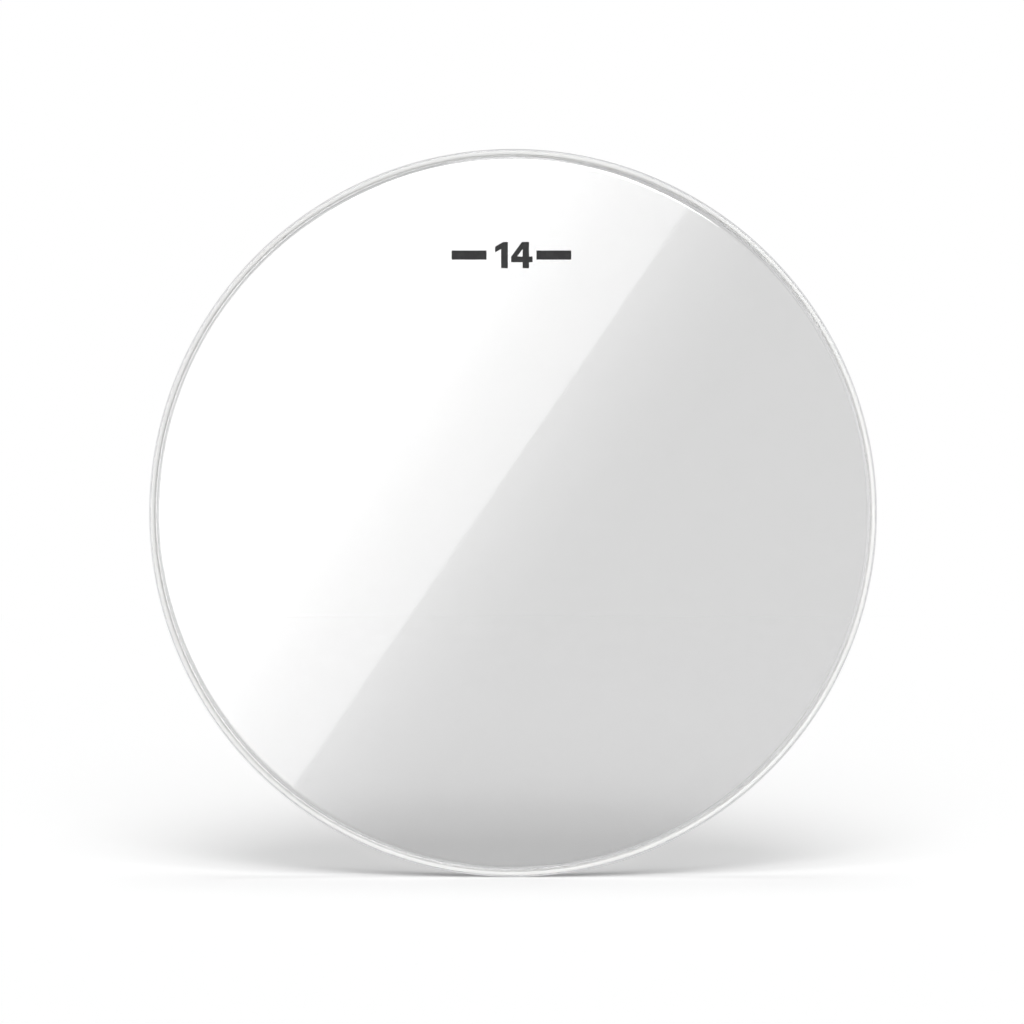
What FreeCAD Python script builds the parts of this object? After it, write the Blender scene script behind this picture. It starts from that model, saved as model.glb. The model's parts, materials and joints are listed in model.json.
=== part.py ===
import FreeCAD
import Part
import math
import os

# Clear two-ply drum head, standing on its rim.
# The head's axis is Y, the playing side faces -Y and the drum's shell enters from +Y.
# The origin is the centre of the hoop, half way up its wall.
# Sections are drawn as (radius, height), with heights measured from the hoop's base
# towards the playing side. All sizes are millimetres and degrees.

# The drum that the head fits
shell_diameter = 355.6
shell_clearance = 1.4

# Roll-formed hoop channel
hoop_wall = 0.8
channel_bend = 0.6
lip_flat = 0.3
seam_gap = 0.2
seam_angle = 90.0

# Sleeve nested in the channel across the seam, and the punch marks that hold it
splice_thickness = 0.3
splice_length = 44.0
splice_depth = 2.5
crimp_punch_radius = 2.5
crimp_depth = 0.2
crimps_each_side = 2

# Film plies
ply_thickness = 0.178
ply_gap = 0.03
collar_height = 9.0
collar_lean = 13.0
root_bend = 3.0
crown_bend = 3.5

# Resin casting and the flesh holes that it sets through
inner_cover = 0.2
outer_cover = 1.52
resin_under = 0.5
resin_drop = 0.2
skirt_depth = 8.2
flesh_hole_diameter = 3.0
flesh_hole_count = 36

# Turn of each arc that a bend is drawn with
bend_step = 27.0

# Radii, from the shell outwards
film_stack = 2 * ply_thickness + ply_gap
hoop_inner = shell_diameter / 2 + shell_clearance
cavity_inner = hoop_inner + hoop_wall
skirt_inner = cavity_inner + splice_thickness + inner_cover
skirt_outer = skirt_inner + film_stack
cavity_outer = skirt_outer + outer_cover + splice_thickness
hoop_outer = cavity_outer + hoop_wall

# Heights, from the hoop's base towards the playing side
skirt_edge = hoop_wall + splice_thickness + resin_under
resin_level = skirt_edge + skirt_depth
hoop_height = resin_level + resin_drop
film_level = hoop_height + collar_height
splice_top = resin_level - splice_depth
flesh_hole_level = skirt_edge + skirt_depth / 2

centre = FreeCAD.Vector(0, 0, 0)
head_axis = FreeCAD.Vector(0, 1, 0)


def section_point(radius, height):
    return FreeCAD.Vector(radius, hoop_height / 2 - height, 0)


def bend_arcs(corner, to_last, to_next, rounding):
    """The arcs that round a corner, each turning by about bend_step."""
    half_angle = to_last.getAngle(to_next) / 2
    bisector = (to_last + to_next).normalize()
    bend_centre = corner + bisector * (rounding / math.sin(half_angle))
    spoke = corner + to_last * (rounding / math.tan(half_angle)) - bend_centre
    turn = 180 - math.degrees(2 * half_angle)
    turn_axis = to_next.cross(to_last)
    pieces = max(1, round(turn / bend_step))
    points = []
    for k in range(2 * pieces + 1):
        rotation = FreeCAD.Rotation(turn_axis, turn * k / (2 * pieces))
        points.append(bend_centre + rotation.multVec(spoke))
    return [Part.Arc(*points[2 * k:2 * k + 3]).toShape() for k in range(pieces)]


def rounded_section(corners):
    """A flat face from corners given as (radius, height, rounding)."""
    points = [section_point(radius, height) for radius, height, rounding in corners]
    bends = []
    for i, (radius, height, rounding) in enumerate(corners):
        to_last = (points[i - 1] - points[i]).normalize()
        to_next = (points[(i + 1) % len(points)] - points[i]).normalize()
        bends.append(bend_arcs(points[i], to_last, to_next, rounding) if rounding > 0 else [])
    edges = []
    for i, bend in enumerate(bends):
        following = (i + 1) % len(bends)
        start = bend[-1].Vertexes[-1].Point if bend else points[i]
        end = bends[following][0].Vertexes[0].Point if bends[following] else points[following]
        edges += bend
        edges.append(Part.LineSegment(start, end).toShape())
    return Part.Face(Part.Wire(edges))


def turned(section, start=0.0, sweep=360.0):
    """The solid that a section sweeps about the head's axis."""
    placed = section.copy()
    placed.rotate(centre, head_axis, start)
    return placed.revolve(centre, head_axis, sweep)


def arc_angle(length, radius):
    return math.degrees(length / radius)


def on_rim(radius, height, angle):
    point = section_point(radius, height)
    return FreeCAD.Rotation(head_axis, angle).multVec(point)


def channel_section(inner, outer, floor, top, wall, bend, rounding):
    """A U that opens towards the playing side, with its inside bends given."""
    return rounded_section([
        (inner, floor, bend + wall),
        (outer, floor, bend + wall),
        (outer, top, rounding),
        (outer - wall, top, rounding),
        (outer - wall, floor + wall, bend),
        (inner + wall, floor + wall, bend),
        (inner + wall, top, rounding),
        (inner, top, rounding),
    ])


def cavity_section(outer, top):
    """The space inside the channel, out to a given radius and up to a given height."""
    return rounded_section([
        (cavity_inner, hoop_wall, channel_bend),
        (outer, hoop_wall, channel_bend),
        (outer, top, 0),
        (cavity_inner, top, 0),
    ])


def film_section(outer_offset, inner_offset):
    """Half of a formed film between two offsets from the outermost face of the plies."""
    lean = math.radians(collar_lean)
    corners = []
    for offset in (outer_offset, inner_offset):
        skirt = skirt_outer - offset
        root = resin_level + root_bend * math.tan(lean / 2) - offset * math.tan(lean / 2)
        level = film_level - offset
        crown = skirt - (level - root) * math.tan(lean)
        face = [
            (skirt, skirt_edge, 0),
            (skirt, root, root_bend - offset),
            (crown, level, crown_bend - offset),
            (0, level, 0),
        ]
        corners += face if offset == outer_offset else face[::-1]
    return rounded_section(corners)


def flesh_holes():
    """Radial pins that punch the row of holes through both skirts."""
    margin = film_stack
    pins = []
    for k in range(flesh_hole_count):
        angle = 360.0 * k / flesh_hole_count
        start = on_rim(skirt_inner - margin, flesh_hole_level, angle)
        outward = FreeCAD.Rotation(head_axis, angle).multVec(FreeCAD.Vector(1, 0, 0))
        length = film_stack + 2 * margin
        pins.append(Part.makeCylinder(flesh_hole_diameter / 2, length, start, outward))
    return pins


def crimp_balls(radius):
    """Balls centred where the crimping punch stops, on both sides of the seam."""
    punch_centre = hoop_outer + crimp_punch_radius - crimp_depth
    level = (hoop_wall + splice_top) / 2
    pitch = arc_angle(splice_length, hoop_outer) / (2 * crimps_each_side)
    first = seam_angle - pitch * (crimps_each_side - 0.5)
    balls = []
    for k in range(2 * crimps_each_side):
        place = on_rim(punch_centre, level, first + k * pitch)
        balls.append(Part.makeSphere(radius, place, head_axis))
    return balls


def hoop_channel(crimp_bumps):
    gap = arc_angle(seam_gap, hoop_outer)
    lip_round = (hoop_wall - lip_flat) / 2
    section = channel_section(
        hoop_inner, hoop_outer, 0, hoop_height, hoop_wall, channel_bend, lip_round
    )
    ring = turned(section, seam_angle + gap / 2, 360 - gap)
    return ring.fuse(crimp_bumps).cut(crimp_balls(crimp_punch_radius)).removeSplitter()


def hoop_splice(crimp_bumps):
    span = arc_angle(splice_length, hoop_outer)
    bend = max(channel_bend - splice_thickness, 0)
    section = channel_section(
        cavity_inner, cavity_outer, hoop_wall, splice_top, splice_thickness, bend, 0
    )
    return turned(section, seam_angle - span / 2, span).cut(crimp_bumps)


def crimp_bumps():
    """What the punch pushes out of the channel's outer wall, towards the sleeve."""
    inside_wall = turned(cavity_section(cavity_outer + hoop_wall / 2, resin_level))
    balls = crimp_balls(crimp_punch_radius + hoop_wall)
    return [inside_wall.common(ball) for ball in balls]


def resin_bead(crimp_bumps, splice):
    casting = turned(cavity_section(cavity_outer, resin_level))
    skirts = turned(film_section(0, film_stack)).cut(flesh_holes())
    return casting.cut([skirts, splice] + crimp_bumps)


def main():
    holes = flesh_holes()
    bumps = crimp_bumps()
    splice = hoop_splice(bumps)
    bottom_start = ply_thickness + ply_gap
    nodes = {
        "hoop_channel": hoop_channel(bumps),
        "hoop_splice": splice,
        "top_ply": turned(film_section(0, ply_thickness)).cut(holes),
        "bottom_ply": turned(film_section(bottom_start, film_stack)).cut(holes),
        "resin_bead": resin_bead(bumps, splice),
    }
    os.makedirs("parts", exist_ok=True)
    for name, shape in nodes.items():
        shape.exportStep(f"parts/{name}.step")
        print(name, len(shape.Solids), "solid", round(shape.Volume, 2), "mm3", shape.isValid())


main()
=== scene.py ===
# %% [markdown]
# # A clear drum head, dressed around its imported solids
# A drum head is a tight pan of clear film whose edge is cast with resin into a light metal
# hoop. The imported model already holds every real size, so this lesson never guesses a place:
# it loads the model as a fixed frame, measures it, and builds finer pieces in the same spot.
# The head stands on its rim, its axis is Y, and the side that is struck faces -Y.

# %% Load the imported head
import json
import math

import bmesh
import bpy
from mathutils import Matrix, Vector


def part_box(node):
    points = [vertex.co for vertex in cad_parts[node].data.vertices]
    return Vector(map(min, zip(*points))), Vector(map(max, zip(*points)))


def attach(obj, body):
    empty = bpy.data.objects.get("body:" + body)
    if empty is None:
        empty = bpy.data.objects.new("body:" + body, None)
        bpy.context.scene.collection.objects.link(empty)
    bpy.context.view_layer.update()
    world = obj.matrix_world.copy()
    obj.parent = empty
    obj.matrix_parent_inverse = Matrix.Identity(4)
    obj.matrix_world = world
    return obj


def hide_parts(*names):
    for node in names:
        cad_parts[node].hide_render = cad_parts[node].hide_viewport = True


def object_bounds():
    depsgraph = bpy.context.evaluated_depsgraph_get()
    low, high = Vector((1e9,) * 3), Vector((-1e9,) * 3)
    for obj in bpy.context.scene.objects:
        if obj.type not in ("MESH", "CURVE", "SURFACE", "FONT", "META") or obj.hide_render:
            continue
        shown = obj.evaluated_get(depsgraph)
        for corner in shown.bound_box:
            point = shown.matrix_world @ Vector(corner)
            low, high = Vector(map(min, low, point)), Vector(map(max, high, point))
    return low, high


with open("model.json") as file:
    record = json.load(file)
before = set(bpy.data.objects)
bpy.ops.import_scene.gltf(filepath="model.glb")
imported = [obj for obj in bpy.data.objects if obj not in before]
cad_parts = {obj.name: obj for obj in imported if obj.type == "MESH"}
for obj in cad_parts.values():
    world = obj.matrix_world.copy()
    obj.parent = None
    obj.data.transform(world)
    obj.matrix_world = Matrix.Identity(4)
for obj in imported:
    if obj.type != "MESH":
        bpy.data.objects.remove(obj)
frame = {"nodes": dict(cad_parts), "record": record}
nodes = frame["nodes"]
cad_low, cad_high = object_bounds()
print("nodes", sorted(nodes), "size in mm", [round(1000 * v, 1) for v in cad_high - cad_low])

# %% [markdown]
# ## Sizes
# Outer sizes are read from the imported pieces, so they can't drift from the model. What a box can't
# tell, such as a bend or a gap, is written later in the cell that needs it, in millimetres and
# degrees as on a drawing. Heights are measured from the closed side of the hoop towards the struck
# side, which makes a section easy to read: radius first, height second.

# %% Sizes from the frame
MM = 0.001


def reach(node):
    """Outer radius, lowest and highest height of a turned piece, in millimetres."""
    low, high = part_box(node)
    return high.x / MM, (hoop_base - high.y) / MM, (hoop_base - low.y) / MM


mounts = {mount["name"]: mount["dims"] for mount in frame["record"]["mounts"]}
hoop_inner = mounts["shell_bore"]["r_mm"]
hoop_outer = mounts["counterhoop_rim"]["r_mm"]
hoop_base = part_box("hoop_channel")[1].y
_, _, hoop_height = reach("hoop_channel")
cavity_outer, channel_floor, resin_level = reach("resin_bead")
skirt_outer, skirt_edge, film_level = reach("top_ply")
_, _, under_level = reach("bottom_ply")
radii = (hoop_inner, skirt_outer, cavity_outer, hoop_outer)
heights = (channel_floor, skirt_edge, resin_level, hoop_height, under_level, film_level)
print("radii", [round(radius, 3) for radius in radii])
print("heights", [round(height, 3) for height in heights])

# %% [markdown]
# ## Nodes in few words
# Materials, surroundings and Geometry Nodes are all trees of nodes. Written out, each node takes
# a line to make, a line for each value and a line for each link. Three small helpers say the same
# in one line: place any node, do a sum, and ease smoothly from one value to another.

# %% Helpers: place_node, calculate and smooth_step
def place_node(tree, kind, settings=None, **sockets):
    """A node with its settings, whose inputs take numbers or links by name or by position."""
    node = tree.nodes.new(kind)
    for label, value in (settings or {}).items():
        setattr(node, label, value)
    for label, value in sockets.items():
        by_position = label[0] == "i" and label[1:].isdigit()
        key = int(label[1:]) if by_position else label.replace("_", " ")
        if hasattr(value, "is_output"):
            tree.links.new(value, node.inputs[key])
        else:
            node.inputs[key].default_value = value
    return node


def calculate(tree, operation, *values):
    """A Math node fed with numbers or sockets, which gives its output socket."""
    inputs = {f"i{k}": value for k, value in enumerate(values)}
    return place_node(tree, "ShaderNodeMath", {"operation": operation}, **inputs).outputs[0]


def smooth_step(tree, value, start, end, low=0.0, high=1.0):
    """Eases from low to high while a value goes from start to end."""
    return place_node(
        tree, "ShaderNodeMapRange", {"interpolation_type": "SMOOTHSTEP"},
        Value=value, From_Min=start, From_Max=end, To_Min=low, To_Max=high,
    ).outputs["Result"]


print("helpers ready:", place_node.__name__, calculate.__name__, smooth_step.__name__)

# %% [markdown]
# ## A shared map of the rim
# Metal that is drawn through rollers carries fine lines along its length, and resin that is
# poured into a channel flows the same way. Both patterns follow the hoop. One shader group
# turns a place on the object into distance along the rim, radius and depth, so that a plain
# noise texture can be stretched along the hoop in any material that asks for it.

# %% Shader group: rim_map
def shader_group(name, inputs, outputs):
    """An empty shader group with named float or vector sockets."""
    group = bpy.data.node_groups.new(name, "ShaderNodeTree")
    for label, kind, value in inputs:
        socket = group.interface.new_socket(label, in_out="INPUT", socket_type=kind)
        socket.default_value = value
    for label, kind in outputs:
        group.interface.new_socket(label, in_out="OUTPUT", socket_type=kind)
    return group, group.nodes.new("NodeGroupInput").outputs, group.nodes.new("NodeGroupOutput").inputs


rim_map, given, result = shader_group(
    "rim_map",
    [("Along", "NodeSocketFloat", 1.0), ("Across", "NodeSocketFloat", 1.0)],
    [("Vector", "NodeSocketVector")],
)
place = place_node(rim_map, "ShaderNodeTexCoord").outputs["Object"]
x, y, z = place_node(rim_map, "ShaderNodeSeparateXYZ", Vector=place).outputs
x_square = calculate(rim_map, "MULTIPLY", x, x)
z_square = calculate(rim_map, "MULTIPLY", z, z)
radius = calculate(rim_map, "SQRT", calculate(rim_map, "ADD", x_square, z_square))
angle = calculate(rim_map, "ARCTAN2", x, z)
arc = calculate(rim_map, "MULTIPLY", angle, hoop_outer * MM)
rim_place = place_node(
    rim_map, "ShaderNodeCombineXYZ",
    X=calculate(rim_map, "MULTIPLY", arc, given["Along"]),
    Y=calculate(rim_map, "MULTIPLY", radius, given["Across"]),
    Z=calculate(rim_map, "MULTIPLY", y, given["Across"]),
)
rim_map.links.new(rim_place.outputs[0], result["Vector"])
print("rim_map has", len(rim_map.nodes), "nodes")

# %% [markdown]
# ## Marks of handling
# No new part is perfectly even. Fingers leave broad soft smudges, and a store leaves fine
# specks. Both are the same two noises on every piece, only stronger or fainter, so they make
# a second shared group. It gives two masks, and each material decides what a mask does.

# %% Shader group: handling_marks
handling_marks, given, result = shader_group(
    "handling_marks",
    [("Smudge Size", "NodeSocketFloat", 30.0), ("Speck Size", "NodeSocketFloat", 900.0)],
    [("Smudge", "NodeSocketFloat"), ("Speck", "NodeSocketFloat")],
)
place = place_node(handling_marks, "ShaderNodeTexCoord").outputs["Object"]
for label, detail, starts_at, full_at in (("Smudge", 4.0, 0.42, 0.72), ("Speck", 1.0, 0.72, 0.80)):
    size = given[label + " Size"]
    noise = place_node(handling_marks, "ShaderNodeTexNoise", Vector=place, Scale=size, Detail=detail)
    mask = smooth_step(handling_marks, noise.outputs[0], starts_at, full_at)
    handling_marks.links.new(mask, result[label])
print("handling_marks gives", [socket.name for socket in result if socket.name])

# %% [markdown]
# ## Words for materials
# Every finish below is made with the same few strokes: place a shared group, lay noise on it,
# spread a value over a range, blend two colours and raise a shallow bump. Each stroke could be
# written out with its nodes and links, but as helpers they let a material read like a list of what
# is seen on the real piece.

# %% Helpers: new_material, use_group, noise_on, spread, tint and shallow_bump
def new_material(name):
    """A material with one Principled shader, ready for more nodes."""
    material = bpy.data.materials.new(name)
    material.use_nodes = True
    return material, material.node_tree, material.node_tree.nodes["Principled BSDF"]


def use_group(tree, group, **values):
    """A shared group placed in a material with its own values, which gives its outputs."""
    return place_node(tree, "ShaderNodeGroup", {"node_tree": group}, **values).outputs


def noise_on(tree, vector, scale, detail):
    """A noise texture on a vector socket, which gives its value."""
    return place_node(tree, "ShaderNodeTexNoise", Vector=vector, Scale=scale, Detail=detail).outputs[0]


def spread(tree, value, low, high):
    """Maps a 0 to 1 value to the range from low to high."""
    return place_node(tree, "ShaderNodeMapRange", Value=value, To_Min=low, To_Max=high).outputs["Result"]


def tint(tree, value, dark, light):
    """Blends from a dark to a light colour by a value."""
    return place_node(
        tree, "ShaderNodeMix", {"data_type": "RGBA"}, i0=value, i6=(*dark, 1), i7=(*light, 1)
    ).outputs[2]


def shallow_bump(tree, height, strength, distance):
    """A Bump node on a height socket, which gives its normal."""
    return place_node(
        tree, "ShaderNodeBump", Strength=strength, Distance=distance, Height=height
    ).outputs["Normal"]


finish_helpers = (new_material, use_group, noise_on, spread, tint, shallow_bump)
print("helpers ready:", [helper.__name__ for helper in finish_helpers])

# %% [markdown]
# ## Drawn aluminium
# The hoop is thin strip, rolled to a channel and left bright. Seen close, it has a satin grain
# along the hoop, a little uneven. A metal shader gets its life from roughness, so the stretched
# noise drives roughness and a very shallow bump, and only slightly the colour.

# %% Material: drawn_aluminium
dark_metal, light_metal = (0.72, 0.72, 0.73), (0.82, 0.82, 0.83)
smooth_grain, rough_grain, smudge_dulling = 0.20, 0.34, 0.07
grain_strength, grain_depth = 0.25, 0.03 * MM

drawn_aluminium, tree, metal = new_material("drawn_aluminium")
along_hoop = use_group(tree, rim_map, Along=6.0, Across=900.0)["Vector"]
grain = noise_on(tree, along_hoop, scale=3.0, detail=3.0)
smudge = use_group(tree, handling_marks, Smudge_Size=45.0, Speck_Size=1400.0)["Smudge"]
metal.inputs["Metallic"].default_value = 1.0
tree.links.new(tint(tree, grain, dark_metal, light_metal), metal.inputs["Base Color"])
roughness = spread(tree, grain, smooth_grain, rough_grain)
roughness = calculate(tree, "MULTIPLY_ADD", smudge, smudge_dulling, roughness)
tree.links.new(roughness, metal.inputs["Roughness"])
tree.links.new(shallow_bump(tree, grain, grain_strength, grain_depth), metal.inputs["Normal"])
print("drawn_aluminium has", len(tree.nodes), "nodes")

# %% [markdown]
# ## Clear film
# Polyester film lets most light straight through and mirrors a little from each of its faces,
# more at a glancing angle. A full glass shader would bend rays in a sheet that is far too thin
# to bend anything, so each face simply blends a see-through shader with a mirror. The share of
# the mirror follows the well-known rule for the grazing angle: it starts near one twentieth
# and rises with the fifth power. Smudges make the mirror a trace softer. The photograph's flat is
# greyer than bare film would be, so each face of the flat also dims what passes through it. This
# tint eases out by radius over the bend at the crown, because the collar is clearer.

# %% Material: clear_film
face_mirror, grazing_power = 0.0533, 5.0
flat_clear, collar_clear = 0.900, 0.985
clearing_start, clearing_end = 176.9, 178.7
clean_mirror, smudged_mirror = 0.015, 0.035

clear_film, tree, unused = new_material("clear_film")
tree.nodes.remove(unused)
grazing = place_node(tree, "ShaderNodeLayerWeight", Blend=0.5).outputs["Facing"]
share = calculate(tree, "POWER", grazing, grazing_power)
share = calculate(tree, "MULTIPLY_ADD", share, 1 - face_mirror, face_mirror)
rim_place = use_group(tree, rim_map)["Vector"]
_, radius, _ = place_node(tree, "ShaderNodeSeparateXYZ", Vector=rim_place).outputs
clearness = smooth_step(tree, radius, clearing_start * MM, clearing_end * MM, flat_clear, collar_clear)
through = place_node(tree, "ShaderNodeBsdfTransparent", Color=clearness).outputs[0]
smudge = use_group(tree, handling_marks, Smudge_Size=18.0, Speck_Size=700.0)["Smudge"]
roughness = spread(tree, smudge, clean_mirror, smudged_mirror)
mirror = place_node(tree, "ShaderNodeBsdfGlossy", Color=(1, 1, 1, 1), Roughness=roughness).outputs[0]
blend = place_node(tree, "ShaderNodeMixShader", i0=share, i1=through, i2=mirror).outputs[0]
tree.links.new(blend, tree.nodes["Material Output"].inputs["Surface"])
print("clear_film passes", round(((1 - face_mirror) * flat_clear) ** 4, 3), "through four faces")

# %% [markdown]
# ## Cast resin
# The resin sets milky, with faint clouds drawn out along the channel and a few pinholes where
# air came up. Clouds go into the colour, pinholes into the bump, and a little light is let
# into the body of the material, as in wax.

# %% Material: cast_resin
dark_milk, light_milk = (0.79, 0.79, 0.78), (0.88, 0.88, 0.87)
smooth_cast, rough_cast = 0.16, 0.34
pinhole_strength, pinhole_depth = 0.3, 0.1 * MM

cast_resin, tree, body = new_material("cast_resin")
along_channel = use_group(tree, rim_map, Along=40.0, Across=400.0)["Vector"]
clouds = noise_on(tree, along_channel, scale=1.0, detail=4.0)
speck = use_group(tree, handling_marks, Smudge_Size=60.0, Speck_Size=1600.0)["Speck"]
tree.links.new(tint(tree, clouds, dark_milk, light_milk), body.inputs["Base Color"])
tree.links.new(spread(tree, clouds, smooth_cast, rough_cast), body.inputs["Roughness"])
pinholes = calculate(tree, "SUBTRACT", 1.0, speck)
tree.links.new(shallow_bump(tree, pinholes, pinhole_strength, pinhole_depth), body.inputs["Normal"])
body.inputs["Subsurface Weight"].default_value = 0.2
body.inputs["Subsurface Scale"].default_value = 1.0 * MM
body.inputs["Subsurface Radius"].default_value = (1.0, 0.95, 0.90)
print("cast_resin has", len(tree.nodes), "nodes")

# %% [markdown]
# ## Print ink
# The print lies on the film as a thin dark coat. Screen printing leaves it a little uneven, so
# the shared marks lift its colour in places and dull its gloss.

# %% Material: print_ink
full_ink, thin_ink = (0.034, 0.034, 0.035), (0.050, 0.050, 0.051)
smooth_ink, dull_ink = 0.55, 0.70

print_ink, tree, ink = new_material("print_ink")
smudge = use_group(tree, handling_marks, Smudge_Size=260.0, Speck_Size=2600.0)["Smudge"]
tree.links.new(tint(tree, smudge, full_ink, thin_ink), ink.inputs["Base Color"])
tree.links.new(spread(tree, smudge, smooth_ink, dull_ink), ink.inputs["Roughness"])
ink.inputs["Specular IOR Level"].default_value = 0.2
print("print_ink has", len(tree.nodes), "nodes")

# %% [markdown]
# ## Sections with true bends
# Every turned piece starts as a section: a list of corners with the radius that each is rounded
# by. Where a bend meets a straight run, one more point is set a hair further on. Smooth shading
# blends normals between points, and without that guard a bend would tint the whole flat film.

# %% Helper: rounded_section
def rounded_section(corners, closed=True, guard=0.2, step=12.0):
    """Points (radius, height) of a section, from corners given as (radius, height, rounding)."""
    outline = []
    for i, (radius, height, rounding) in enumerate(corners):
        corner = Vector((radius, height))
        at_end = not closed and i in (0, len(corners) - 1)
        if rounding == 0 or at_end:
            outline.append(corner)
            continue
        to_last = (Vector(corners[i - 1][:2]) - corner).normalized()
        to_next = (Vector(corners[(i + 1) % len(corners)][:2]) - corner).normalized()
        half = to_last.angle(to_next) / 2
        centre = corner + (to_last + to_next).normalized() * (rounding / math.sin(half))
        reach_back = rounding / math.tan(half)
        spoke = corner + to_last * reach_back - centre
        turn = math.pi - 2 * half
        turn = turn if to_next.cross(to_last) > 0 else -turn
        count = max(2, math.ceil(math.degrees(abs(turn)) / step))
        outline.append(corner + to_last * (reach_back + guard))
        for k in range(count + 1):
            outline.append(centre + Matrix.Rotation(turn * k / count, 2) @ spoke)
        outline.append(corner + to_next * (reach_back + guard))
    return outline + outline[:1] if closed else outline


rounded_square = rounded_section([(0, 0, 1), (9, 0, 1), (9, 9, 1), (0, 9, 1)])
print("a rounded square has", len(rounded_square), "points")

# %% [markdown]
# ## One tree that turns any section
# Hoop, film and resin are all bodies of revolution, so one Geometry Nodes tree makes them all.
# It lays out a plain grid whose one direction runs round the axis and whose other direction
# runs along the section, looks up each section point by its index, and bends the grid round.
# The last column then lands on the first, and welding closes the ring. Edges that turn sharply
# are marked, so that smooth shading keeps them crisp.

# %% Helpers: new_tree and finish_tree
crease = math.radians(35)


def new_tree(name, inputs):
    """A Geometry Nodes tree with a mesh in, a mesh out and named inputs for its sizes."""
    tree = bpy.data.node_groups.new(name, "GeometryNodeTree")
    tree.interface.new_socket("Geometry", in_out="INPUT", socket_type="NodeSocketGeometry")
    for label, kind in inputs:
        tree.interface.new_socket(label, in_out="INPUT", socket_type="NodeSocket" + kind)
    tree.interface.new_socket("Geometry", in_out="OUTPUT", socket_type="NodeSocketGeometry")
    return tree, tree.nodes.new("NodeGroupInput").outputs, tree.nodes.new("NodeGroupOutput").inputs


def finish_tree(tree, mesh, given, result):
    """Marks sharp edges, shades the rest smooth, realizes instances and sets the material."""
    angle = place_node(tree, "GeometryNodeInputMeshEdgeAngle").outputs["Unsigned Angle"]
    sharp = place_node(tree, "FunctionNodeCompare", {"operation": "GREATER_THAN"}, i0=angle, i1=crease)
    smooth = place_node(tree, "GeometryNodeSetShadeSmooth", Geometry=mesh, Shade_Smooth=True)
    crisp = place_node(
        tree, "GeometryNodeSetShadeSmooth", {"domain": "EDGE"},
        Geometry=smooth.outputs[0], Selection=sharp.outputs[0], Shade_Smooth=False,
    )
    real = place_node(tree, "GeometryNodeRealizeInstances", Geometry=crisp.outputs[0])
    dressed = place_node(
        tree, "GeometryNodeSetMaterial", Geometry=real.outputs[0], Material=given["Material"]
    )
    tree.links.new(dressed.outputs[0], result[0])


print("edges that turn by over", round(math.degrees(crease)), "degrees stay crisp")

# %% Geometry Nodes: turned_section
weld_distance = 0.002 * MM

turned_section, given, result = new_tree("turned_section", [
    ("Steps", "Int"), ("Start", "Float"), ("Sweep", "Float"), ("Material", "Material"),
])
section = given["Geometry"]
size = place_node(turned_section, "GeometryNodeAttributeDomainSize", Geometry=section)
count = size.outputs["Point Count"]
columns = calculate(turned_section, "ADD", given["Steps"], 1)
sheet = place_node(
    turned_section, "GeometryNodeMeshGrid", Size_X=1.0, Size_Y=1.0, Vertices_X=columns, Vertices_Y=count
).outputs["Mesh"]
spot = place_node(turned_section, "GeometryNodeInputPosition").outputs[0]
across, down, _ = place_node(turned_section, "ShaderNodeSeparateXYZ", Vector=spot).outputs
share = calculate(turned_section, "ADD", across, 0.5)
angle = calculate(turned_section, "MULTIPLY_ADD", share, given["Sweep"], given["Start"])
share = calculate(turned_section, "ADD", down, 0.5)
row = calculate(turned_section, "MULTIPLY", share, calculate(turned_section, "SUBTRACT", count, 1))
row = place_node(turned_section, "FunctionNodeFloatToInt", Float=row).outputs[0]
picked = place_node(
    turned_section, "GeometryNodeSampleIndex", {"data_type": "FLOAT_VECTOR", "domain": "POINT"},
    Geometry=section, Value=spot, Index=row,
).outputs[0]
radius, depth, _ = place_node(turned_section, "ShaderNodeSeparateXYZ", Vector=picked).outputs
turned = place_node(
    turned_section, "ShaderNodeCombineXYZ",
    X=calculate(turned_section, "MULTIPLY", radius, calculate(turned_section, "COSINE", angle)),
    Y=depth,
    Z=calculate(turned_section, "MULTIPLY", radius, calculate(turned_section, "SINE", angle)),
).outputs[0]
ring = place_node(turned_section, "GeometryNodeSetPosition", Geometry=sheet, Position=turned).outputs[0]
welded = place_node(turned_section, "GeometryNodeMergeByDistance", Geometry=ring, Distance=weld_distance)
finish_tree(turned_section, welded.outputs[0], given, result)
print("turned_section has", len(turned_section.nodes), "nodes")

# %% [markdown]
# ## From a tree to a plain mesh
# A tree stays live until its result is taken out as a mesh. The helper run_tree gives an object a
# tree, sets the inputs by their identifiers before Blender first evaluates it, keeps the result
# and removes the modifier.

# %% Helpers: evaluated_mesh, add_object and run_tree
def evaluated_mesh(piece):
    """A plain mesh of what an object shows with its modifiers or its curve filled in."""
    return bpy.data.meshes.new_from_object(piece.evaluated_get(bpy.context.evaluated_depsgraph_get()))


def add_object(name, data):
    """An object in the scene, at the origin."""
    piece = bpy.data.objects.new(name, data)
    bpy.context.scene.collection.objects.link(piece)
    return piece


def run_tree(piece, tree, **values):
    """Replaces an object's mesh with what a tree makes of it."""
    modifier = piece.modifiers.new(tree.name, "NODES")
    modifier.node_group = tree
    identifiers = {s.name: s.identifier for s in tree.interface.items_tree if s.in_out == "INPUT"}
    for label, value in values.items():
        modifier[identifiers[label]] = value
    made = evaluated_mesh(piece)
    piece.modifiers.remove(modifier)
    piece.data = made
    made.name = piece.name


print("helpers ready:", evaluated_mesh.__name__, add_object.__name__, run_tree.__name__)

# %% [markdown]
# ## Which way is outside
# A grid that was bent round an axis may come out with its faces turned in, and a section that is
# turned by less than a full circle leaves open ends. The helper facing_out closes such ends and lets
# Blender work out which way is outside. It prints how many edges are open, which has to be none.

# %% Helpers: facing_out and turn
same_point = 0.0001 * MM
round_steps = 480


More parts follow.
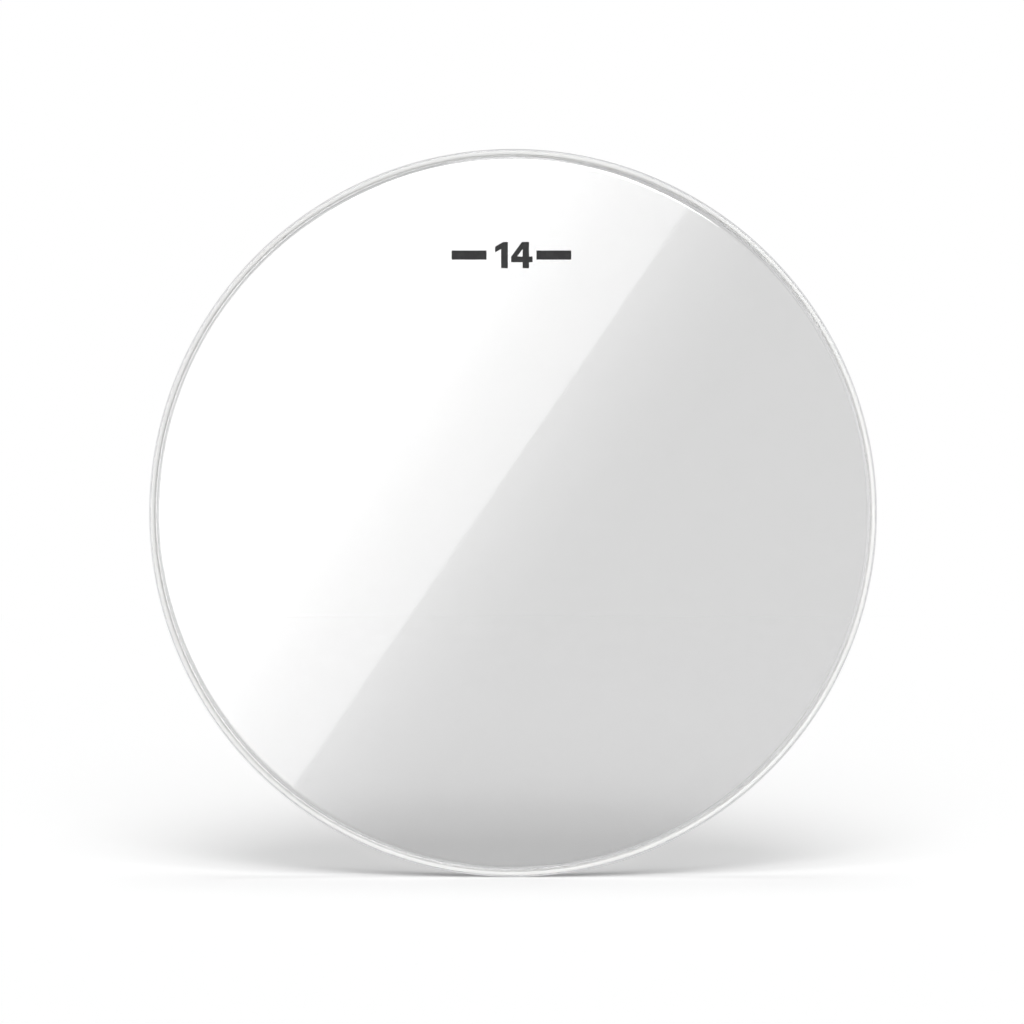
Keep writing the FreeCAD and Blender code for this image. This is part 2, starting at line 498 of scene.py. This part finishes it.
def facing_out(piece, close_ends=False):
    """Welds points that coincide, closes open ends where asked, and points every face outwards."""
    work = bmesh.new()
    work.from_mesh(piece.data)
    bmesh.ops.remove_doubles(work, verts=work.verts, dist=same_point)
    if close_ends:
        open_edges = [e for e in work.edges if e.is_boundary]
        caps = bmesh.ops.holes_fill(work, edges=open_edges, sides=0)["faces"]
        for edge in {e for face in caps for e in face.edges}:
            edge.smooth = False
    bmesh.ops.recalc_face_normals(work, faces=work.faces)
    leaks = sum(not e.is_manifold for e in work.edges)
    volume = work.calc_volume(signed=True)
    if volume < 0:
        bmesh.ops.reverse_faces(work, faces=work.faces)
    work.to_mesh(piece.data)
    work.free()
    faces = len(piece.data.polygons)
    print(piece.name, faces, "faces,", leaks, "open edges,", round(abs(volume) / MM ** 3), "mm3")
    return piece


def turn(name, outline, material, steps=round_steps, start=0.0, sweep=360.0):
    """A turned piece from section points in millimetres, radius and height."""
    mesh = bpy.data.meshes.new(name)
    points = [(radius * MM, hoop_base - height * MM, 0) for radius, height in outline]
    mesh.from_pydata(points, [(i, i + 1) for i in range(len(points) - 1)], [])
    piece = add_object(name, mesh)
    run_tree(
        piece, turned_section,
        Steps=steps, Start=math.radians(start), Sweep=math.radians(sweep), Material=material,
    )
    return facing_out(piece, close_ends=sweep < 360)


print("a full turn has", round_steps, "steps")

# %% [markdown]
# ## The hoop
# A flat strip is rolled into a U, bent to a ring and butted at one seam. The U opens towards the
# struck side, and its two lips are rounded off so that they don't cut the film. Here the section
# is turned a fraction less than a full circle, which leaves the seam open at the foot.

# %% Piece: hoop
hoop_wall = hoop_outer - cavity_outer
cavity_inner = hoop_inner + hoop_wall
channel_bend, lip_flat = 0.6, 0.3
seam_gap, seam_angle = 0.2, 270.0
lip_round = (hoop_wall - lip_flat) / 2
fine_guard = 0.05
u_section = rounded_section([
    (hoop_inner, 0, channel_bend + hoop_wall),
    (hoop_outer, 0, channel_bend + hoop_wall),
    (hoop_outer, hoop_height, lip_round),
    (cavity_outer, hoop_height, lip_round),
    (cavity_outer, hoop_wall, channel_bend),
    (cavity_inner, hoop_wall, channel_bend),
    (cavity_inner, hoop_height, lip_round),
    (hoop_inner, hoop_height, lip_round),
], guard=fine_guard)
gap = math.degrees(seam_gap / hoop_outer)
hoop = turn("hoop", u_section, drawn_aluminium, start=seam_angle + gap / 2, sweep=360 - gap)

# %% [markdown]
# ## Tools that work round the rim
# Three things repeat round this rim: punch marks that hold the hidden sleeve, holes in the edge
# of the film, and the resin that fills those holes. Each is one small tool, repeated by angle and
# then cut away from the piece or joined to it. One tree does all three, with the tool as an
# object input, and a switch for cutting or joining.

# %% Geometry Nodes: round_the_rim
round_the_rim, given, result = new_tree("round_the_rim", [
    ("Tool", "Object"), ("Count", "Int"), ("Start", "Float"), ("Pitch", "Float"),
    ("Radius", "Float"), ("Depth", "Float"), ("Join", "Bool"), ("Material", "Material"),
])
tool = place_node(round_the_rim, "GeometryNodeObjectInfo", Object=given["Tool"]).outputs["Geometry"]
number = place_node(round_the_rim, "GeometryNodeInputIndex").outputs[0]
angle = calculate(round_the_rim, "MULTIPLY_ADD", number, given["Pitch"], given["Start"])
outward = place_node(
    round_the_rim, "ShaderNodeCombineXYZ",
    X=calculate(round_the_rim, "COSINE", angle), Z=calculate(round_the_rim, "SINE", angle),
).outputs[0]
out_to_rim = place_node(
    round_the_rim, "ShaderNodeVectorMath", {"operation": "SCALE"},
    Vector=outward, Scale=given["Radius"],
).outputs[0]
down_to_level = place_node(round_the_rim, "ShaderNodeCombineXYZ", Y=given["Depth"]).outputs[0]
spot = place_node(round_the_rim, "ShaderNodeVectorMath", i0=out_to_rim, i1=down_to_level).outputs[0]
dots = place_node(round_the_rim, "GeometryNodePoints", Count=given["Count"], Position=spot).outputs[0]
aim = place_node(round_the_rim, "FunctionNodeAlignRotationToVector", Vector=outward).outputs[0]
tools = place_node(
    round_the_rim, "GeometryNodeInstanceOnPoints", Points=dots, Instance=tool, Rotation=aim
).outputs[0]
tools = place_node(round_the_rim, "GeometryNodeRealizeInstances", Geometry=tools).outputs[0]
exact_cut = {"operation": "DIFFERENCE", "solver": "EXACT"}
exact_join = {"operation": "UNION", "solver": "EXACT"}
cut = place_node(round_the_rim, "GeometryNodeMeshBoolean", exact_cut)
both = place_node(round_the_rim, "GeometryNodeMeshBoolean", exact_join)
chosen = place_node(round_the_rim, "GeometryNodeSwitch", {"input_type": "GEOMETRY"})
for output, socket in (
    (given["Geometry"], cut.inputs["Mesh 1"]),
    (tools, cut.inputs["Mesh 2"]),
    (given["Geometry"], both.inputs["Mesh 2"]),
    (tools, both.inputs["Mesh 2"]),
    (given["Join"], chosen.inputs["Switch"]),
    (cut.outputs[0], chosen.inputs["False"]),
    (both.outputs[0], chosen.inputs["True"]),
):
    round_the_rim.links.new(output, socket)
finish_tree(round_the_rim, chosen.outputs[0], given, result)
print("round_the_rim has", len(round_the_rim.nodes), "nodes")

# %% [markdown]
# ## Small tools
# The tools are plain helper objects: a ball for the punch and a round pin for the holes. They are
# made when needed and thrown away after use, so that nothing but the finished piece is left.

# %% Helpers: ball, pin and work_round_rim
ball_divisions, pin_sides = 4, 32


def tool_object(name, make, **sizes):
    """A helper object from one bmesh operator and its sizes."""
    work = bmesh.new()
    make(work, **sizes)
    mesh = bpy.data.meshes.new(name)
    work.to_mesh(mesh)
    work.free()
    return add_object(name, mesh)


def ball(radius):
    """A ball, from its radius in millimetres."""
    return tool_object(
        "ball", bmesh.ops.create_icosphere, subdivisions=ball_divisions, radius=radius * MM
    )


def pin(radius, length):
    """A round pin with closed ends, from its sizes in millimetres."""
    return tool_object(
        "pin", bmesh.ops.create_cone, cap_ends=True, segments=pin_sides,
        radius1=radius * MM, radius2=radius * MM, depth=length * MM,
    )


def work_round_rim(piece, tool, count, start, pitch, radius, height, material, join=False):
    """Cuts a tool out of a piece, or joins it on, at equal angles round the rim."""
    run_tree(
        piece, round_the_rim, Tool=tool, Count=count,
        Start=math.radians(start), Pitch=math.radians(pitch),
        Radius=radius * MM, Depth=hoop_base - height * MM, Join=join, Material=material,
    )
    bpy.data.objects.remove(tool)
    facing_out(piece)


print("a pin has", pin_sides, "sides")

# %% [markdown]
# ## Punch marks beside the seam
# A sleeve sits inside the channel across the seam. A round-nosed punch dents the outer wall into
# it on both sides, which is all that holds the ring closed until the resin sets. A ball that
# reaches a little way into the wall leaves exactly that shallow round dent.

# %% Detail: crimps
punch_radius, punch_depth, crimps_each_side = 2.5, 0.2, 2
splice_low, splice_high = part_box("hoop_splice")
splice_width = math.degrees(math.asin(splice_high.x / (hoop_outer * MM))) * 2
pitch = splice_width / (2 * crimps_each_side)
first_crimp = seam_angle - pitch * (crimps_each_side - 0.5)
crimp_level = (hoop_base - (splice_low.y + splice_high.y) / 2) / MM
work_round_rim(
    hoop, ball(punch_radius), 2 * crimps_each_side, first_crimp, pitch,
    hoop_outer + punch_radius - punch_depth, crimp_level, drawn_aluminium,
)

# %% [markdown]
# ## The two plies
# Each ply is one sheet of film, pressed hot into a shallow pan: flat in the middle, bent down at
# the crown, leaning out along the collar, and straight again where its skirt stands in the
# channel. The section runs from the middle of one face, round the cut edge of the skirt, to the
# middle of the other face. Both ends lie on the axis, so turning it gives a closed sheet.

# %% Pieces: top_film and under_film
ply_thickness = 0.178
ply_step = film_level - under_level
collar_lean, root_bend, crown_bend = 13.0, 3.0, 3.5
film_bend_step = 8.0


def film_section(outer_offset):
    """Section of one ply that lies a given way inside the outermost face."""
    lean = math.radians(collar_lean)
    faces = []
    for offset in (outer_offset, outer_offset + ply_thickness):
        skirt = skirt_outer - offset
        root = resin_level + (root_bend - offset) * math.tan(lean / 2)
        level = film_level - offset
        crown = skirt - (level - root) * math.tan(lean)
        faces.append([
            (0, level, 0),
            (crown, level, crown_bend - offset),
            (skirt, root, root_bend - offset),
            (skirt, skirt_edge, 0),
        ])
    return rounded_section(faces[0] + faces[1][::-1], closed=False, step=film_bend_step)


top_film = turn("top_film", film_section(0), clear_film)
under_film = turn("under_film", film_section(ply_step), clear_film)

# %% [markdown]
# ## Holes in the skirts
# Film is slippery, and glue alone would let it slide out of the hoop. A row of punched holes in
# each skirt lets the resin flow through and lock the film in place. The holes repeat evenly, so
# the rim tree cuts them with one pin.

# %% Detail: flesh holes
flesh_holes, flesh_hole_diameter = 36, 3.0
film_stack = ply_step + ply_thickness
hole_radius, hole_pitch = flesh_hole_diameter / 2, 360 / flesh_holes
hole_level = (skirt_edge + resin_level) / 2
skirt_middle = skirt_outer - film_stack / 2
for film in (top_film, under_film):
    work_round_rim(
        film, pin(hole_radius, 4 * film_stack), flesh_holes, 0, hole_pitch,
        skirt_middle, hole_level, clear_film,
    )

# %% [markdown]
# ## The resin
# Liquid resin fills the channel, creeps a little up every wall it wets, and sets with a shallow
# hollow between them. It stands on both sides of the skirts, so its section has a slot for the
# film, and short pins join its two halves through the holes.

# %% Piece: resin_ring
fit, creep = 0.02, 0.10
skirt_inner = skirt_outer - film_stack


def wet_surface(start, end, count=9):
    """Points of a set surface that has crept up the walls at both of its ends."""
    points = []
    for k in range(count):
        share = k / (count - 1)
        hollow = creep - creep * (2 * share - 1) ** 2
        points.append(Vector((start + (end - start) * share, resin_level - hollow)))
    return points


channel_space = rounded_section([
    (cavity_inner + fit, resin_level, 0),
    (cavity_inner + fit, hoop_wall + fit, channel_bend),
    (cavity_outer - fit, hoop_wall + fit, channel_bend),
    (cavity_outer - fit, resin_level, 0),
], closed=False, guard=fine_guard)
slot = [
    Vector((skirt_outer + fit, skirt_edge - fit)),
    Vector((skirt_inner - fit, skirt_edge - fit)),
]
resin_outline = (
    channel_space[1:-1]
    + wet_surface(cavity_outer - fit, skirt_outer + fit)
    + slot
    + wet_surface(skirt_inner - fit, cavity_inner + fit)
)
resin_ring = turn("resin_ring", resin_outline + resin_outline[:1], cast_resin)
work_round_rim(
    resin_ring, pin(hole_radius - fit, 2 * film_stack), flesh_holes, 0, hole_pitch,
    skirt_middle, hole_level, cast_resin, join=True,
)

# %% [markdown]
# ## Room for the sleeve
# The sleeve was in the channel before the resin was poured, so the resin goes round it. A short
# U, a hair larger than the sleeve, is turned across the seam and cut out of the ring.

# %% Detail: sleeve pocket
splice_thickness, pocket_steps = 0.3, 24
pocket_top = (hoop_base - splice_low.y) / MM + fit
skin = splice_thickness + 2 * fit
inner, outer, low = cavity_inner - fit, cavity_outer + fit, channel_floor - fit
pocket_section = rounded_section([
    (inner, low, 0),
    (outer, low, 0),
    (outer, pocket_top, 0),
    (outer - skin, pocket_top, 0),
    (outer - skin, low + skin, 0),
    (inner + skin, low + skin, 0),
    (inner + skin, pocket_top, 0),
    (inner, pocket_top, 0),
])
pocket_start = seam_angle - splice_width / 2
pocket = turn("pocket", pocket_section, cast_resin, pocket_steps, pocket_start, splice_width)
cutter = resin_ring.modifiers.new("pocket", "BOOLEAN")
cutter.object = pocket
cutter.solver = "EXACT"
cleared = evaluated_mesh(resin_ring)
resin_ring.modifiers.remove(cutter)
resin_ring.data = cleared
bpy.data.objects.remove(pocket)
facing_out(resin_ring)

# %% [markdown]
# ## The print
# A head carries a small print near its top edge. Here it is plain: the nominal size as a number,
# between two bars. A text object would do, but its letters depend on a font, so the two digits
# are drawn as flat outlines in millimetres. A filled curve takes a hole by itself, where one
# outline lies inside another. The drawing is made a mesh first, and only then put in its place.

# %% Piece: size_print
print_right, print_up, print_lift = -0.8, 129.3, 0.004
ink_coat = 0.01
bar_start, bar_end, bar_half = 12.5, 30.0, 2.3
bars = [
    [(side * bar_start, -bar_half), (side * bar_end, -bar_half),
     (side * bar_end, bar_half), (side * bar_start, bar_half)]
    for side in (-1, 1)
]
one = [(-5.2, -6.6), (-1.8, -6.6), (-1.8, 6.6), (-4.2, 6.6), (-8.2, 4.2), (-8.2, 1.3), (-5.2, 3.0)]
four = [
    (5.6, -6.6), (8.8, -6.6), (8.8, -3.6), (10.6, -3.6), (10.6, -0.7), (8.8, -0.7), (8.8, 6.6),
    (5.2, 6.6), (-0.2, -0.9), (-0.2, -3.6), (5.6, -3.6),
]
four_hole = [(5.6, -0.7), (5.6, 3.0), (2.9, -0.7)]

flat_print = bpy.data.curves.new("flat_print", "CURVE")
flat_print.dimensions = "2D"
flat_print.fill_mode = "BOTH"
flat_print.extrude = ink_coat * MM
for outline in (*bars, one, four, four_hole):
    spline = flat_print.splines.new("POLY")
    spline.points.add(len(outline) - 1)
    for point, (right, up) in zip(spline.points, outline):
        point.co = (right * MM, up * MM, 0, 1)
    spline.use_cyclic_u = True
drawing = add_object("drawing", flat_print)
size_print = add_object("size_print", evaluated_mesh(drawing))
bpy.data.objects.remove(drawing)
mark_centre = Vector((print_right * MM, hoop_base - (film_level + print_lift) * MM, print_up * MM))
size_print.data.transform(Matrix.Translation(mark_centre) @ Matrix.Rotation(math.pi / 2, 4, "X"))
size_print.data.materials.clear()
size_print.data.materials.append(print_ink)
print("size_print", [round(v / MM, 1) for v in size_print.dimensions], "mm")

# %% [markdown]
# ## Tie the pieces to the frame
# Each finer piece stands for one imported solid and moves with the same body. The sleeve keeps its
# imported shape, since nothing of it shows, and only takes the metal of the hoop.

# %% Ride and replace
for piece, node, slot_name in (
    (hoop, "hoop_channel", "hoop_aluminium"),
    (top_film, "top_ply", "clear_film"),
    (under_film, "bottom_ply", "clear_film"),
    (resin_ring, "resin_bead", "cast_resin"),
):
    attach(piece, "root")
    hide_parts(node)
    print(piece.name, "stands for", node)
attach(size_print, "root")
for slot_of_sleeve in nodes["hoop_splice"].material_slots:
    slot_of_sleeve.material = drawn_aluminium

# %% [markdown]
# ## Floor
# The photograph shows plain white with a soft shadow. The floor is matt, so that the shadow on it is
# a real one. The lamps alone would leave it grey, and its colour makes up for that in the camera's
# eye: where nothing shades it, colour times light comes out white. All other rays meet a pale grey
# floor, and mirrors don't see it at all. Far off it fades to plain white, which hides the horizon.

# %% Stage: floor
ambient, low_share, high_share, top_share = 0.05, 0.20, 0.23, 0.09
floor_light = ambient + low_share + high_share + top_share
floor_grey, floor_size = 0.90, 12.0
plain_from, plain_to = 1.2, 4.0


def plane(name, corners, material):
    """A flat stage piece from its four corners."""
    mesh = bpy.data.meshes.new(name)
    mesh.from_pydata(corners, [], [(0, 1, 2, 3)])
    mesh.materials.append(material)
    piece = add_object(name, mesh)
    return piece


floor_level = cad_low.z
floor_white, tree, unused = new_material("floor_white")
tree.nodes.remove(unused)
to_camera = place_node(tree, "ShaderNodeLightPath").outputs["Is Camera Ray"]
shown = spread(tree, to_camera, floor_grey, 1.0 / floor_light)
matt = place_node(tree, "ShaderNodeBsdfDiffuse", Color=shown).outputs[0]
ground = place_node(tree, "ShaderNodeTexCoord").outputs["Object"]
away = place_node(tree, "ShaderNodeVectorMath", {"operation": "LENGTH"}, i0=ground).outputs["Value"]
far = calculate(tree, "MULTIPLY", smooth_step(tree, away, plain_from, plain_to), to_camera)
white = place_node(tree, "ShaderNodeEmission", Strength=1.0).outputs[0]
surface = place_node(tree, "ShaderNodeMixShader", i0=far, i1=matt, i2=white).outputs[0]
tree.links.new(surface, tree.nodes["Material Output"].inputs["Surface"])
floor = plane("floor", [
    (-floor_size, -floor_size, floor_level), (floor_size, -floor_size, floor_level),
    (floor_size, floor_size, floor_level), (-floor_size, floor_size, floor_level),
], floor_white)
floor.visible_glossy = False
print("floor at", round(floor_level / MM, 1), "mm, lit to", round(floor_light, 2))

# %% [markdown]
# ## Surroundings
# The camera sees white all round, also through the film. Mirrors see white near the horizon and
# less towards the top and the foot, which gives the bright hoop its light and dark bands. A mirror
# that is met after a matt surface counts for half, so that the hoop throws less light back on the
# floor. As a source of light the surroundings are faint, which leaves the shadow to the lamps.

# %% Stage: surroundings
horizon_slope, pole_slope, pole_light = 0.2, 0.95, 0.45
bounced_loss = 0.5

world = bpy.data.worlds.new("white_studio")
bpy.context.scene.world = world
world.use_nodes = True
tree = world.node_tree
path = place_node(tree, "ShaderNodeLightPath").outputs
heading = place_node(tree, "ShaderNodeTexCoord").outputs["Generated"]
_, _, upward = place_node(tree, "ShaderNodeSeparateXYZ", Vector=heading).outputs
slope = calculate(tree, "ABSOLUTE", upward)
graded = smooth_step(tree, slope, horizon_slope, pole_slope, 1.0, pole_light)
bounced = calculate(tree, "MINIMUM", path["Diffuse Depth"], 1.0)
mirror_share = calculate(tree, "MULTIPLY_ADD", bounced, -bounced_loss, path["Is Glossy Ray"])
mirrored = calculate(tree, "MULTIPLY", graded, mirror_share)
seen = calculate(tree, "MAXIMUM", path["Is Camera Ray"], path["Is Transmission Ray"])
strength = calculate(tree, "MAXIMUM", calculate(tree, "MAXIMUM", seen, mirrored), ambient)
background = tree.nodes["Background"]
background.inputs["Color"].default_value = (1, 1, 1, 1)
tree.links.new(strength, background.inputs["Strength"])
print("surroundings have", len(tree.nodes), "nodes")

# %% [markdown]
# ## Key lamps
# Two broad lamps stand in front and above, and give the wide pool of shadow behind the rim. A
# third hangs overhead, a little past the zenith, for the thin shadow in front of the foot. They are
# suns with a wide disc, because a sun lights the whole floor evenly. A low sun spreads its light
# thin, so each is turned up until it gives the floor its planned share. The hoop and the resin are
# left out by light linking: the hoop's look comes from what it mirrors, and the resin has lamps of
# its own. The films are hidden from rays that leave a matt surface, or they would throw patches of
# mirrored lamp light on the floor.

# %% Lights: keys
def soft_sun(name, height, side, width, share):
    """A broad lamp, from its height, its turn to the right and its width in degrees."""
    lamp = bpy.data.lights.new(name, "SUN")
    lamp.angle = math.radians(width)
    lamp.energy = math.pi * share
    sun = add_object(name, lamp)
    sun.rotation_euler = (math.radians(90 - height), 0, math.radians(side))
    print(name, round(lamp.energy, 2))
    return sun


def light_group(name, pieces):
    """A collection of pieces for light linking."""
    group = bpy.data.collections.new(name)
    for piece in pieces:
        group.objects.link(piece)
    return group


not_rim = light_group("not_rim", (hoop, resin_ring))
for entry in not_rim.collection_objects:
    entry.light_linking.link_state = "EXCLUDE"
for name, height, width, floor_share in (
    ("low_key", 30.0, 34.0, low_share),
    ("high_key", 52.0, 34.0, high_share),
    ("top_key", 94.0, 24.0, top_share),
):
    key = soft_sun(name, height, 0.0, width, floor_share / math.sin(math.radians(height)))
    key.light_linking.receiver_collection = not_rim
for film in (top_film, under_film):
    film.visible_diffuse = False

# %% [markdown]
# ## Fill lamps for the resin
# The photograph's ring of resin is palest at its foot, most of all on the right, as from a lamp low
# in front. Two fills light the resin alone, one straight from the front and one from low on the
# right. Only the head's own pieces shade it from them, so the floor doesn't stand in the way.

# %% Lights: fills
fill_width = 70.0
rim = light_group("rim", (resin_ring,))
shades = light_group("rim_shades", (hoop, resin_ring, top_film, under_film))
for name, height, side, share in (("front_fill", 0.0, 0.0, 0.68), ("low_fill", -30.0, 20.0, 0.82)):
    fill = soft_sun(name, height, side, fill_width, share)
    fill.light_linking.receiver_collection = rim
    fill.light_linking.blocker_collection = shades

# %% [markdown]
# ## Camera
# The camera looks straight along the head's axis, from a distance at which the rim covers as much
# of the picture as in the photograph. It stands less than a millimetre off the axis, because the
# rim's centre isn't quite in the middle of the picture.

# %% Camera
picture_width, rim_radius_px = 1024, 364.0
camera_distance = 1.6
camera_right, camera_up = -0.53, 0.5
lens_px = rim_radius_px * (camera_distance + hoop_base - hoop_height * MM) / (hoop_outer * MM)
eye = bpy.data.cameras.new("camera")
eye.sensor_width = 36.0
eye.lens = lens_px / picture_width * eye.sensor_width
camera = add_object("camera", eye)
camera.location = (camera_right * MM, -camera_distance, camera_up * MM)
camera.rotation_euler = (math.pi / 2, 0, 0)
bpy.context.scene.camera = camera
print("lens", round(eye.lens, 2), "mm")

# %% [markdown]
# ## Cards for the film to mirror
# Studios hang white cards and soft boxes where a glossy surface will mirror them. A card here is
# a flat piece that glows and is see-through, so that it hides nothing behind it. It fades out
# towards its edges, and it is linked to the two films alone, so that it lights nothing else.

# %% Helpers: mirror_card, card_material, fade_edges and glow_through
mirrors = light_group("film_mirrors", (top_film, under_film))


def mirror_card(name, material, depth, left, right, low, high):
    """A stage card, square to the head's axis, that only the two films mirror."""
    corners = [(left, depth, low), (right, depth, low), (right, depth, high), (left, depth, high)]
    card = plane(name, corners, material)
    card.visible_camera = False
    card.visible_diffuse = False
    card.visible_shadow = False
    card.light_linking.receiver_collection = mirrors
    print(name, round(right - left, 1), "by", round(high - low, 1), "m")


def card_material(name):
    """An empty card material, with its places to the right and upwards."""
    material, tree, unused = new_material(name)
    tree.nodes.remove(unused)
    place = place_node(tree, "ShaderNodeTexCoord").outputs["Object"]
    across, _, upward = place_node(tree, "ShaderNodeSeparateXYZ", Vector=place).outputs
    return material, tree, across, upward


def fade_edges(tree, level, fades):
    """Dims a level at the edges of a card, each given as (coordinate, dark at, full at)."""
    for coordinate, dark_at, full_at in fades:
        level = calculate(tree, "MULTIPLY", smooth_step(tree, coordinate, dark_at, full_at), level)
    return level


def glow_through(tree, level):
    """Makes a card's surface a glow of this level, added to a see-through shader."""
    glow = place_node(tree, "ShaderNodeEmission", Strength=level).outputs[0]
    clear = place_node(tree, "ShaderNodeBsdfTransparent").outputs[0]
    both = place_node(tree, "ShaderNodeAddShader", i0=glow, i1=clear).outputs[0]
    tree.links.new(both, tree.nodes["Material Output"].inputs["Surface"])


# %% [markdown]
# ## The soft box behind the camera
# A flat film mirrors one patch of the studio behind the camera, about twice as large as itself.
# The photograph shows the edge of a big soft box there: bright on the upper left, a clean slanting
# edge, and a glow that fades on the other side. Distances from the edge are written as they lie on
# the film, in metres, and the card's scale carries them over.

# %% Stage: soft_box_card
card_back = 0.25
to_film = camera_distance + hoop_base - film_level * MM
card_scale = (2 * to_film + card_back) / to_film
edge_right, edge_up, edge_offset = -0.8262, 0.5637, 0.01295
fade_levels = [
    (-0.060, 0.0), (-0.040, 0.10), (-0.018, 0.38), (0.0, 0.76),
    (0.0004, 1.50), (0.030, 1.85), (0.075, 2.7),
]
fade_from, fade_to, fade_top = -0.10, 0.10, 2.7
card_left, card_right, card_low, card_high = -4.0, 0.7, -0.7, 3.0
soft_left, soft_low, soft_high = 1.0, 0.4, 1.0

card_light, tree, across, upward = card_material("card_light")
beyond = calculate(tree, "MULTIPLY", across, edge_right / card_scale)
beyond = calculate(tree, "MULTIPLY_ADD", upward, edge_up / card_scale, beyond)
beyond = calculate(tree, "SUBTRACT", beyond, edge_offset)
share = place_node(tree, "ShaderNodeMapRange", Value=beyond, From_Min=fade_from, From_Max=fade_to)
ramp = place_node(tree, "ShaderNodeValToRGB", i0=share.outputs["Result"])
while len(ramp.color_ramp.elements) < len(fade_levels):
    ramp.color_ramp.elements.new(0.5)
for element, (distance, level) in zip(ramp.color_ramp.elements, fade_levels):
    element.position = (distance - fade_from) / (fade_to - fade_from)
    element.color = (level / fade_top, level / fade_top, level / fade_top, 1)
level = calculate(tree, "MULTIPLY", ramp.outputs[0], fade_top)
glow_through(tree, fade_edges(tree, level, (
    (across, card_left, card_left + soft_left),
    (upward, card_low, card_low + soft_low),
    (upward, card_high, card_high - soft_high),
)))
card_depth = -camera_distance - card_back
mirror_card("soft_box_card", card_light, card_depth, card_left, card_right, card_low, card_high)
print("card scale", round(card_scale, 3))

# %% [markdown]
# ## The card beside the collar
# The photograph's ring carries a thin bright line on its left side. It is the leaning collar, which
# mirrors what stands behind and to the left of the head. A second soft card there gives that line.

# %% Stage: side_card
side_level, side_depth = 1.8, 2.0
side_left, side_right, side_low, side_high = -2.6, 0.5, -2.4, 2.4
soft_left, soft_right, soft_end = 0.7, 1.0, 0.8

side_light, tree, across, upward = card_material("side_light")
glow_through(tree, fade_edges(tree, side_level, (
    (across, side_right, side_right - soft_right),
    (across, side_left, side_left + soft_left),
    (upward, side_low, side_low + soft_end),
    (upward, side_high, side_high - soft_end),
)))
mirror_card("side_card", side_light, side_depth, side_left, side_right, side_low, side_high)

# %% [markdown]
# ## Last step
# Colours are shown as they are, without a film look. The dressed head mustn't be larger than the
# imported one.

# %% Finish
bpy.context.scene.view_settings.view_transform = "Standard"
